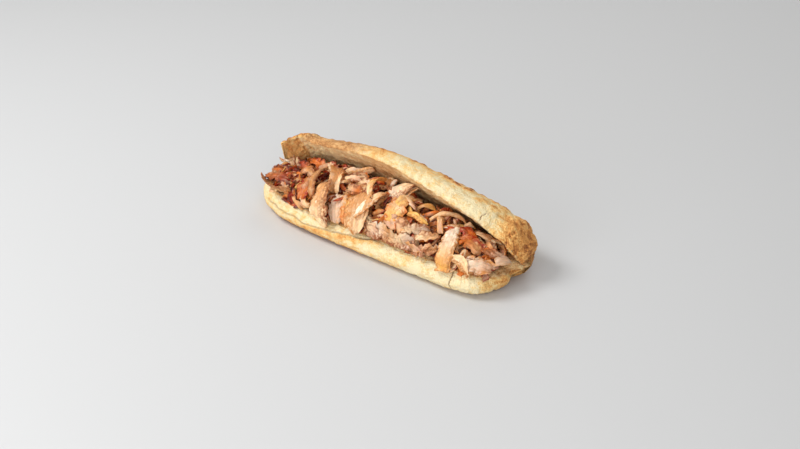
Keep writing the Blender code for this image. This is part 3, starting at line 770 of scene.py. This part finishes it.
# For each slice: its x in mm, place up the heap, heading in degrees, length and width in mm; its lift,
# arch and curl, how far one long edge stands above the other, and its sideways bend, in mm; the shares
# of its width that its two ends keep, how ragged and how spiced it is; its face at its two ends, its
# rim and its seared side; and, where it stands free of the heap, how steeply in degrees.
SLICES = dict(
    boat=((-97, 0.17, -6, 36, 19), (-1, 0, 9, -1, 5), (0.7, 0.8, 0.3, 0.5), (TAN, TAN, CHESTNUT, 0), 5),
    boat_filling=((-101, 0.30, 6, 30, 12), (1, 3, 0, 0, 0), (0.6, 0.7, 1.2, 1), (ORANGE, RED, DARK, 0), 15),
    boat_back=((-104, 0.52, 8, 32, 9), (0, 2, 1, 0, 0), (0.5, 0.6, 1.3, 1), (ORANGE, RED, DARK, 1), 60),
    shred_a=((-118, 0.74, -30, 18, 8), (1, 1, 1, 0, 1), (0.3, 0.8, 0.5, 0.2), (PALE, WHITE, BROWN, 0), 70),
    shred_b=((-113, 0.78, -44, 19, 9), (1, 1, 1, 1, 1), (0.3, 0.8, 0.5, 0.2), (WHITE, PALE, AMBER, -1), 65),
    shred_c=((-106, 0.75, -55, 19, 7), (2, 2, 1, 0, 1), (0.4, 0.7, 0.5, 0.3), (PALE, PINK, BROWN, 1), 75),
    shred_d=((-101, 0.76, -50, 15, 5), (2, 2, 1, 0, 0), (0.4, 0.7, 0.5, 0.5), (PALE, PINK, RED, 1), 70),
    crusted_blob=((-82, 0.84, 4, 22, 12), (2, 3, 0, 0, 0), (0.6, 0.6, 1.4, 1), (ORANGE, ORANGE, RED, 0), 55),
    red_crisp=((-91, 0.70, -20, 17, 10), (1, 1, 0, 0, 0), (0.6, 0.5, 1.5, 1), (RED, ORANGE, DARK, 0), 50),
    pink_shred=((-58, 0.80, -24, 20, 9), (3, 2, 1, 0, 0), (0.5, 0.4, 0.6, 0.6), (PALE, PINK, RED, 1), 55),
    red_shred=((-51, 0.88, -30, 13, 6), (2, 1, 0, 0, 0), (0.5, 0.5, 1, 1), (RED, RED, DARK, 0), 55),
    rough_slice=((-68, 0.34, -84, 25, 15), (0, 2, 0, 0, 0), (0.6, 0.6, 1.4, 1), (AMBER, ORANGE, RED, 0)),
    rough_top=((-79, 0.58, -24, 20, 11), (1, 3, 0, 0, 0), (0.5, 0.5, 1.1, 1), (ORANGE, TAN, BROWN, 0)),
    fold_ridge=((-59, 0.44, -72, 32, 9), (4, 4, -1, 2, 3), (0.6, 0.5, 0.5, 0.8), (TAN, AMBER, BROWN, 0)),
    fold_inner=((-52, 0.44, 87, 20, 13), (-1, 1, 0, 0, 0), (0.6, 0.6, 0.5, 0.1), (WHITE, ASHEN, TAN, 0)),
    big_pale=((-41, 0.15, -66, 42, 19), (2, 4, 2, 2, 2), (0.6, 0.3, 0.45, 0.5), (TAN, PALE, BROWN, 1)),
    gold_wing=((-47, 0.60, -55, 34, 12), (1, 5, 2, -2, -5), (0.6, 0.5, 0.7, 0.8), (AMBER, TAN, BROWN, 1)),
    tan_wing=((-40, 0.54, -68, 23, 8), (2, 4, 1, 2, 2), (0.5, 0.5, 0.6, 0.5), (TAN, PALE, AMBER, -1)),
    grey_slice=((-27, 0.20, -80, 24, 15), (0, 1, 2, 0, 0), (0.6, 0.6, 0.8, 0.3), (ASHEN, ASHEN, TAN, 1)),
    pink_bit=((-60, 0.10, -4, 10, 7), (1, 2, 0, 0, 0), (0.6, 0.6, 1.0, 0.3), (PINK, PALE, AMBER, 0)),
    white_bit=((-45, 0.20, -60, 9, 8), (3, 1, 0, 0, 0), (0.6, 0.6, 1.1, 0.2), (WHITE, WHITE, PALE, 0)),
    top_strip=((-36, 0.88, 34, 29, 6), (3, 2, 1, 2, 1), (0.4, 0.4, 0.5, 0.3), (PALE, PALE, TAN, 1), 50),
    top_pink=((-32, 0.72, 28, 21, 9), (2, 2, 1, 1, 0), (0.6, 0.5, 0.5, 0.3), (PINK, PALE, BROWN, 1), 45),
    top_pale=((-43, 0.86, 26, 17, 8), (2, 2, 0, 0, 0), (0.6, 0.6, 0.5, 0.2), (PALE, ASHEN, AMBER, -1), 50),
    top_tan=((-22, 0.68, 34, 15, 7), (3, 2, 1, 0, 0), (0.5, 0.5, 0.6, 0.4), (TAN, PALE, BROWN, 1), 45),
    top_red=((-13, 0.78, 10, 12, 8), (2, 2, 0, 0, 0), (0.6, 0.6, 0.9, 0.9), (ORANGE, ORANGE, RED, 0)),
    brown_curl=((-22, 0.48, 0, 14, 9), (2, 3, 3, 0, 2), (0.6, 0.6, 1.3, 0.9), (PALE, ORANGE, BROWN, 0)),
    crumpled_a=((-30, 0.62, 12, 18, 5), (3, 3, 1, 1, 2), (0.4, 0.5, 0.8, 0.3), (PALE, PINK, BROWN, -1)),
    crumpled_b=((-17, 0.66, -24, 15, 4.5), (3, 2, 1, 0, -2), (0.4, 0.5, 0.8, 0.3), (WHITE, PALE, TAN, 1)),
    crumpled_c=((-36, 0.54, 40, 14, 4), (3, 2, 1, 0, 1), (0.4, 0.5, 0.8, 0.3), (PALE, TAN, AMBER, 1)),
    crumpled_d=((30, 0.62, -30, 15, 4.5), (3, 3, 1, 0, 1), (0.4, 0.5, 0.8, 0.3), (PALE, PINK, BROWN, 1)),
    crumpled_e=((69, 0.62, 50, 14, 4), (2, 2, 1, 0, 1), (0.4, 0.5, 0.8, 0.3), (WHITE, TAN, AMBER, 1)),
    brown_bits=((-16, 0.58, 69, 14, 6), (1, 3, 1, 0, 0), (0.5, 0.5, 0.8, 0.7), (TAN, TAN, BROWN, 1)),
    crescent_a=((-7, 0.62, -77, 27, 7), (3, 5, 2, 2, 5), (0.4, 0.4, 0.35, 0.2), (GOLD, PALE, AMBER, 1)),
    broad_left=((-18, 0.24, -80, 25, 12), (0, 2, 1, 0, 0), (0.6, 0.5, 0.8, 1), (GOLD, TAN, ORANGE, -1)),
    broad_tip=((-7, 0.22, -78, 38, 24), (1, 3, 2, 2, 0), (0.75, 0.12, 0.4, 0.6), (TAN, PALE, AMBER, -1)),
    broad_arm=((0, 0.38, -112, 31, 11), (2, 4, 3, 2, -2), (0.5, 0.4, 0.35, 0.2), (PALE, WHITE, AMBER, 1)),
    point=((11, 0.74, -132, 35, 13), (2, 2, 1, 2, 2), (0.15, 0.6, 0.5, 0.2), (PALE, WHITE, BROWN, 1), 60),
    long_under=((17, 0.72, -120, 21, 9), (0, 2, 1, 0, 0), (0.5, 0.5, 0.6, 0.7), (ORANGE, TAN, RED, 0)),
    crescent_b=((21, 0.85, -107, 20, 6), (3, 4, 2, 2, 4), (0.4, 0.5, 0.35, 0.1), (PALE, PINK, TAN, 1), 60),
    seasoned=((22, 0.46, -84, 23, 17), (1, 2, 1, 0, 0), (0.6, 0.5, 0.9, 1), (PALE, GOLD, ORANGE, 0)),
    seasoned_top=((23, 0.62, -109, 20, 12), (1, 3, 1, 0, 0), (0.6, 0.5, 0.6, 1), (PALE, GOLD, AMBER, 1)),
    gold_stick=((42, 0.48, -9, 21, 5), (2, 3, 0, 0, 0), (0.8, 0.7, 0.4, 0.3), (GOLD, GOLD, AMBER, -1)),
    tan_stick=((40, 0.72, 38, 15, 5), (1, 3, 0, 0, 0), (0.8, 0.7, 0.4, 0.4), (TAN, GOLD, AMBER, 1)),
    arch=((60, 0.73, 40, 28, 4.5), (2, 4, 0, 0, -4), (0.6, 0.55, 0.5, 0.1), (PALE, PALE, TAN, -1)),
    upright=((60, 0.56, -51, 18, 5), (2, 3, 0, 0, 0), (0.7, 0.9, 0.5, 0.2), (PALE, PINK, TAN, 0)),
    yellow_strip=((78, 0.27, -75, 43, 14), (1, 3, -1, 1, 0), (0.5, 0.95, 0.5, 0.4), (WHITE, HONEY, AMBER, 0)),
    lid_chip=((76, 0.87, 45, 8, 6), (3, 1, 0, 0, 0), (0.3, 0.9, 0.3, 0), (PALE, PALE, TAN, 0), 60),
    low_chip=((91, 0.33, -78, 9, 5), (2, 1, 0, 0, 0), (0.5, 0.6, 0.8, 0.2), (PALE, PINK, TAN, 0)),
    red_top=((81, 0.67, -20, 17, 12), (1, 3, 0, 0, 0), (0.6, 0.6, 1.1, 1), (RED, ORANGE, RED, 0)),
    red_chunk=((90, 0.54, -1, 22, 14), (2, 2, 0, 0, 0), (0.7, 0.7, 1.4, 0.9), (ORANGE, TAN, RED, 1)),
    grey_chunk=((107, 0.60, -1, 23, 12), (1, 2, 0, 0, 0), (0.7, 0.7, 1.4, 0.4), (ORANGE, ASHEN, BROWN, -1)),
    under_lid_a=((93, 0.77, 9, 19, 7), (2, 2, 1, 0, 0), (0.5, 0.5, 0.6, 0.3), (PALE, TAN, BROWN, 1)),
    under_lid_b=((101, 0.81, 31, 15, 6), (2, 2, 1, 0, 0), (0.5, 0.5, 0.7, 0.4), (PALE, PALE, TAN, 1)),
    curved_strip=((94, 0.12, -24, 24, 7), (1, 3, 3, 0, -6), (0.4, 0.5, 0.4, 0.2), (PALE, PALE, AMBER, -1)),
    low_pink_a=((105, 0.32, 6, 22, 10), (1, 2, 1, 0, 0), (0.6, 0.5, 1.4, 0.3), (WHITE, PINK, AMBER, 1)),
    low_pink_b=((106, 0.17, 14, 20, 10), (1, 2, 2, 0, 0), (0.6, 0.5, 1.3, 0.3), (WHITE, PINK, AMBER, -1)),
    frill_a=((10, 0.11, -34, 20, 13), (1, 2, 2, 1, 0), (0.6, 0.5, 1.1, 0.1), (PALE, PINK, BROWN, -1)),
    frill_b=((20, 0.13, -4, 21, 13), (1, 3, 2, 1, 0), (0.5, 0.6, 1.2, 0.2), (WHITE, TAN, BROWN, -1)),
    frill_c=((31, 0.09, -18, 20, 12), (0, 2, 3, 1, 0), (0.5, 0.6, 1.2, 0.4), (TAN, PALE, BROWN, -1)),
    frill_d=((42, 0.12, 12, 20, 12), (1, 2, 3, 1, 0), (0.6, 0.5, 1.4, 0.3), (PALE, ASHEN, BROWN, -1)),
    frill_e=((53, 0.07, -6, 18, 9), (0, 2, 3, 1, 0), (0.6, 0.5, 1.4, 0.4), (TAN, PINK, BROWN, -1)),
    frill_f=((63, 0.13, 30, 19, 9), (1, 2, 3, 0, 0), (0.6, 0.5, 1.3, 0.5), (PINK, TAN, BROWN, -1)),
    frill_top=((58, 0.31, 27, 19, 8), (2, 2, 1, 0, 0), (0.6, 0.5, 1.3, 0.6), (PALE, TAN, BROWN, 1)),
    mid_pale_a=((31, 0.30, -6, 27, 13), (1, 2, 1, 0, 0), (0.5, 0.5, 0.7, 0.2), (PINK, TAN, BROWN, 1)),
    mid_pale_b=((46, 0.33, 23, 24, 9), (2, 2, 1, 0, 0), (0.5, 0.5, 1.2, 0.4), (PALE, ASHEN, BROWN, 1)),
    white_patch=((5, 0.15, -30, 15, 10), (1, 1, 0, 0, 0), (0.6, 0.6, 1.0, 0.1), (WHITE, PALE, PALE, 0)),
    grey_lump=((117, 0.50, 35, 10, 9), (2, 2, -2, 0, 0), (0.8, 0.8, 0.5, 0), (ASHEN, ASHEN, TAN, 0)),
    speck_a=((-9, 0.97, 53, 14, 5), (2, 2, 0, 0, 0), (0.5, 0.5, 0.5, 0), (WHITE, PALE, TAN, 0), 60),
    speck_b=((-3, 0.95, 70, 11, 4), (2, 2, 0, 0, 0), (0.5, 0.5, 0.5, 0), (WHITE, WHITE, TAN, 0), 60),
)


def lay_cut(row, thick, shift, wave):
    """One slice or shred: a ragged, rippled grid laid on the heap, thickened and painted. The shift
    gives it a grain and an outline of its own, and the wave is how high it ripples."""
    (x, t, heading, *plan), form, (keep_start, keep_end, ragged, spice), tones, *steep = row
    face, far_face, rim, seared = tones
    x = x * MM
    length, width, lift, arch, curl, tilt, bend = (value * MM for value in (*plan, *form))
    steps = max(8, round(length / (0.9 * MM))), max(4, round(width / (0.9 * MM)))
    bpy.ops.mesh.primitive_grid_add(x_subdivisions=steps[0], y_subdivisions=steps[1], size=2)
    piece = bpy.context.object
    s, v, _ = vertices_of(piece).T
    place = np.stack([s * length / 2 + shift * 31 * MM, v * width / 2, 0 * s], axis=1)
    outline = place * (1, 0, 0) + np.sign(v)[:, None] * (0, 50 * MM, 0)
    notch = 0.26 * grain(outline, 5 * MM, shift) + 0.2 * grain(outline, 1.9 * MM, shift + 5)
    notch -= 0.55 * smooth(0.25, 0.6, grain(outline, 3.2 * MM, shift + 12))
    keep = np.where(s < 0, keep_start, keep_end)
    half = width / 2 * (keep + (1 - keep) * (1 - np.abs(s) ** 2.2)) * (1 + ragged * notch)
    end_line = place * (0, 1, 0) + np.sign(s)[:, None] * (70 * MM, 0, 0)
    end_notch = 0.10 * grain(end_line, 2.5 * MM, shift) * np.abs(s) ** 3
    right_s, up_w = length / 2 * s * (1 + ragged * end_notch), half * v + bend * (s**2 - 0.4)
    cosine, sine = math.cos(math.radians(heading)), math.sin(math.radians(heading))
    right, rise = right_s * cosine - up_w * sine, right_s * sine + up_w * cosine
    spot_frame = heap_frame(np.array(x), np.array(t))
    point, along, up, out = (np.broadcast_to(part, (len(s), 3)) for part in spot_frame)
    ripples = grain(place, 7 * MM, shift + 9) + 0.45 * grain(place, 2.6 * MM, shift + 2)
    pleats = (1 - np.abs(grain(place * (0.3, 1, 1), 3.6 * MM, shift + 30))) ** 2
    height = lift + arch * (1 - s**2) + curl * v**2 - min(0, curl) + SLICE_TOP - thick
    waves = wave * (0.8 + 0.5 * ragged) * (ripples + 1.5 * pleats - 0.8) * (0.6 + 0.6 * v**2)
    height = (height + tilt * v + waves)[:, None]
    if not steep:
        straight = point + along * right[:, None] + up * rise[:, None]
        per_share = np.linalg.norm(heap_surface(x, t + 0.05) - heap_surface(x, t - 0.05)) / 0.1
        laid, _, _, laid_out = heap_frame(x + right, np.minimum(1.0, t + rise / per_share))
        spots = (straight + laid) / 2 + unit(out + laid_out) * height
    else:
        slope = math.radians(steep[0])
        rising = np.array([0, math.cos(slope), math.sin(slope)])
        facing = np.array([0, -rising[2], rising[1]])
        spots = point + right[:, None] * (1.0, 0, 0) + rise[:, None] * rising + height * facing
    piece.data.vertices.foreach_set("co", (keep_clear(spots) - MIDDLE).ravel())
    edge = np.maximum(np.abs(v), np.abs(s) ** 6)
    if seared:
        edge = np.maximum(0.5 + 0.5 * v * seared, 0.75 * np.abs(s) ** 6)
    weights = piece.vertex_groups.new(name="thick")
    for index, share in enumerate(np.maximum(np.abs(v), np.abs(s))):
        weights.add([index], 1.0 - 0.65 * float(share) ** 6, "REPLACE")
    lighter = 1 + 0.10 * random_tones.uniform(-1, 1)
    near, far = np.array(linear(*face)[:3]), np.array(linear(*far_face)[:3])
    paint(piece, "face", (near + (far - near) * smooth(-0.7, 0.7, s)[:, None]) * lighter)
    paint(piece, "rim", linear(*rim)[:3])
    paint(piece, "cut", np.stack([place[:, 0] * 100, place[:, 1] * 100, 0 * s + shift], axis=1))
    # Blue is the pleats' mask, for painted shade in their hollows and painted light on their crests.
    paint(piece, "cook_and_shade", np.stack([edge, 0 * s + spice, pleats], axis=1))
    solid = piece.modifiers.new("thickness", "SOLIDIFY")
    solid.thickness = thick
    solid.offset = 1
    solid.vertex_group = "thick"
    bpy.ops.object.modifier_apply(modifier=solid.name)
    piece.vertex_groups.clear()
    return piece


def join_cuts(cuts, name, finish):
    """Many cuts joined to one piece, with its finish and the CAD node that it stands for."""
    bpy.ops.object.select_all(action="DESELECT")
    for cut in cuts:
        cut.select_set(True)
    bpy.context.view_layer.objects.active = cuts[0]
    bpy.ops.object.join()
    bpy.ops.object.transform_apply(location=True, rotation=True, scale=True)
    piece = bpy.context.object
    piece.name = piece.data.name = name
    piece.data.shade_smooth()
    bpy.ops.object.shade_smooth_by_angle(angle=math.radians(50))
    piece.data.materials.clear()
    piece.data.materials.append(finish)
    spots = in_box(keep_clear(vertices_of(piece) + MIDDLE) - MIDDLE)
    piece.data.vertices.foreach_set("co", spots.ravel())
    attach(piece, "root")
    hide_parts("meat")


random_tones = random.Random(4)
bpy.ops.object.select_all(action="DESELECT")
slices = [lay_cut(row, SLICE_THICK, 3.7 * number, SLICE_WAVE) for number, row in enumerate(SLICES.values())]
join_cuts(slices, "carved_slices", carved_chicken)

# ---------------------------------------------------------------- shreds
# Smaller strips and scraps that fell off the knife, strewn through the heap under and between the
# slices: most of them pale or golden, more of them dark deeper down, partly crisp and partly painted shade.

# The deep gaps that stay open between the slices: x in mm, place up the heap and radius in mm.
GAPS = (
    (41, 0.64, 9),
    (40, 0.36, 8),
    (98, 0.42, 8),
    (4, 0.05, 8),
    (90, 0.95, 12),
    (-88, 0.38, 7),
    (-55, 0.40, 4),
)
# For each layer, the lower first: how many, their lengths and widths, how deep they sink and how much
# that varies, all in mm, and the share of dark ones, higher below as painted shade of the depths.
SHRED_LAYERS = (
    (150, (8, 22), (4, 10), -5.0, 1.5, 0.9),
    (190, (6, 18), (2.0, 5), -2.6, 2.6, 0.5),
)
SHRED_THICK = 1.1 * MM
SHRED_WAVE = 0.8 * MM
shreds = []
draw = random.Random(17)
for count, lengths, widths, sink, spread, darkness in SHRED_LAYERS:
    for i in range(count):
        x = -112 + 224 * (i + draw.random()) / count
        face = draw.choice((PALE, PINK, TAN, GOLD, ORANGE, TAN, PINK))
        rim = draw.choice((TAN, ORANGE, BROWN, RED))
        # Dark ones are crisp bits, and in the lower layer also painted shade.
        if draw.random() < darkness * (0.9 if x < -60 else 0.5):
            face, rim = draw.choice(((ORANGE, RED), (BROWN, DARK), (RED, DARK), (ORANGE, BROWN)))
        t = draw.uniform(0.02, 0.97)
        size = (draw.uniform(*lengths), draw.uniform(*widths))
        lift = sink + draw.uniform(0, spread)
        shape = (lift, draw.uniform(0, 3), draw.uniform(-1, 3), draw.uniform(-2.5, 2.5), draw.uniform(-3, 3))
        ends = (draw.uniform(0.2, 0.9), draw.uniform(0.2, 0.9), draw.uniform(0.5, 1.2), draw.uniform(0, 0.8))
        row = ((x, t, draw.uniform(0, 180), *size), shape, ends, (face, face, rim, draw.choice((-1, 0, 1))))
        in_gap = any(math.hypot(x - gap_x, (t - gap_t) * 60) < radius for gap_x, gap_t, radius in GAPS)
        if not in_gap or lift < -4:
            shreds.append(lay_cut(row, SHRED_THICK, 1.3 * i + count, SHRED_WAVE))
join_cuts(shreds, "chicken_shreds", carved_chicken)

# ---------------------------------------------------------------- crisp scraps
# Hard little crumbs of browned, spiced skin and meat, thickest at the left of the heap and in the
# gaps between the slices, with a few pale ones among them.

SCRAPS = 430
PALE_SHARE = 0.14
BROWNED = ((ORANGE, RED), (RED, DARK), (RED, DARK), (BROWN, DARK), (ORANGE, DARK), (TAN, ORANGE))
scraps = []
draw = random.Random(23)
for i in range(SCRAPS):
    at_left = i % 5 < 2
    x = draw.uniform(-119, -58) if at_left else draw.uniform(-112, 114)
    t = draw.uniform(0.12, 0.95) if at_left else draw.uniform(0.04, 0.98)
    if i % 5 == 4:
        gap_x, gap_t, radius = GAPS[i // 5 % len(GAPS)]
        x, t = gap_x + draw.uniform(-radius, radius), min(0.98, max(0.03, gap_t + draw.uniform(-0.1, 0.1)))
    face, rim = draw.choice(BROWNED)
    if draw.random() < PALE_SHARE:
        face, rim = draw.choice(((PALE, ORANGE), (TAN, BROWN)))
    lift = draw.uniform(-1.5, 2.0) if at_left else draw.uniform(-4.0, -0.2)
    point, along, up, out = heap_frame(np.array(x * MM), np.array(t))
    bpy.ops.mesh.primitive_ico_sphere_add(subdivisions=3, radius=1)
    scrap = bpy.context.object
    spots = vertices_of(scrap)
    lumpy = 1 + 0.5 * grain(spots, 0.9, 3.1 * i) + 0.3 * grain(spots, 0.35, 1.7 * i)
    sizes = np.array([draw.uniform(1.0, 3.0), draw.uniform(0.7, 1.7), draw.uniform(0.5, 1.2)]) * MM
    shaped = spots * lumpy[:, None] * sizes
    angle = draw.uniform(0, math.pi)
    right = shaped[:, 0] * math.cos(angle) - shaped[:, 1] * math.sin(angle)
    rise = shaped[:, 0] * math.sin(angle) + shaped[:, 1] * math.cos(angle)
    placed = point + along * right[:, None] + up * rise[:, None] + out * (shaped[:, 2] + lift * MM)[:, None]
    scrap.data.vertices.foreach_set("co", (placed - MIDDLE).ravel())
    edge = 0.45 + 0.5 * grain(spots, 0.7, 2.3 * i)
    paint(scrap, "face", linear(*face)[:3])
    paint(scrap, "rim", linear(*rim)[:3])
    paint(scrap, "cut", placed * 100)
    paint(scrap, "cook_and_shade", np.stack([edge, 0 * edge + 0.6, 0 * edge + 0.6], axis=1))
    scraps.append(scrap)
join_cuts(scraps, "crisp_scraps", crisp_chicken)
